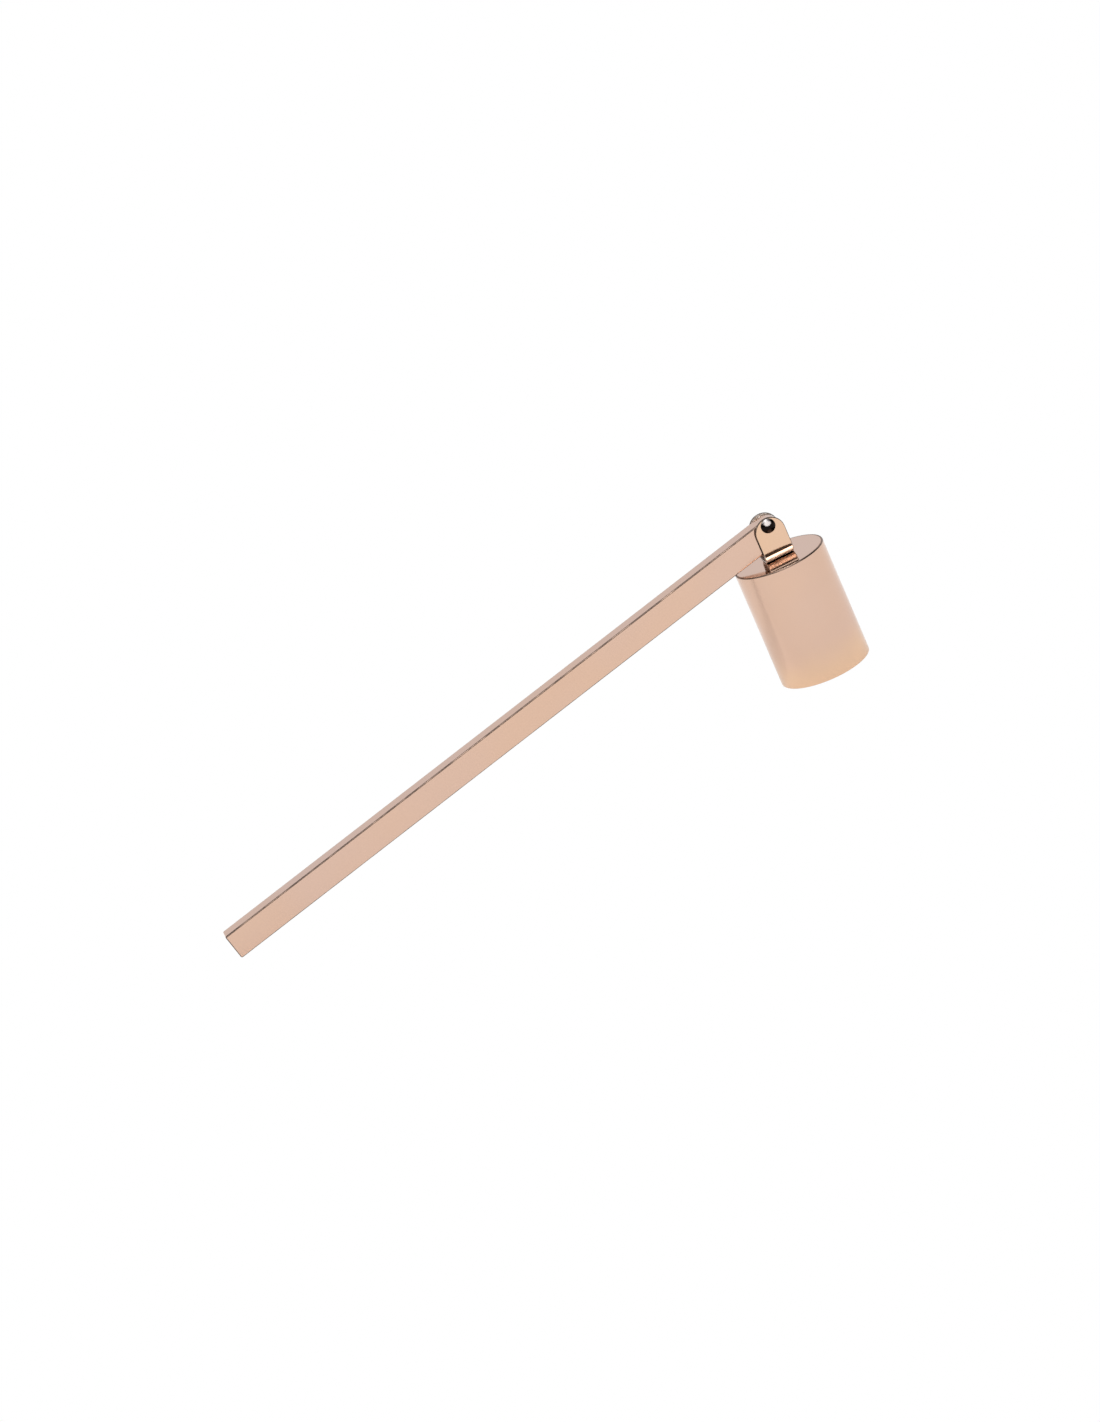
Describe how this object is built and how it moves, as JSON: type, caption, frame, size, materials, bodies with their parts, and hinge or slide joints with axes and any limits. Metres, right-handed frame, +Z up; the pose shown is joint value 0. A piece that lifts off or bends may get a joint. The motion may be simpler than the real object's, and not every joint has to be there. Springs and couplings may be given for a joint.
{
  "type": "candle snuffer",
  "caption": "Candle snuffer: a cylindrical cup, open below, swings from a U bracket on a cross pin at the eye end of a long flat rectangular handle.",
  "frame": {"origin": "centre of the cup's open mouth, in the plane of its rim", "axes": "+Z up the cup's axis, the handle leaves towards -X, the hinge pin lies along Y with its domed head at -Y"},
  "size_m": [0.1868, 0.025, 0.0451],
  "materials": {
    "rose_gold": "polished rose-gold plating on stainless steel",
    "dark_steel": "dark polished steel",
    "washer_steel": "plain bright steel"
  },
  "bodies": {
    "handle": {"handle_bar": "rose_gold"},
    "cup": {"u_bracket": "rose_gold", "hinge_pin": "dark_steel", "cap_nut": "dark_steel", "washer_front": "washer_steel", "washer_rear": "washer_steel", "cup_wall": "rose_gold", "cup_top": "rose_gold", "cup_rivet": "rose_gold", "backing_washer": "washer_steel"}
  },
  "joints": [
    {"name": "cup_swing", "type": "hinge", "parent": "handle", "child": "cup", "pos_m": [0, 0, 0.0429], "axis": [0, -1, 0], "range_deg": [-3.9, 222]}
  ]
}
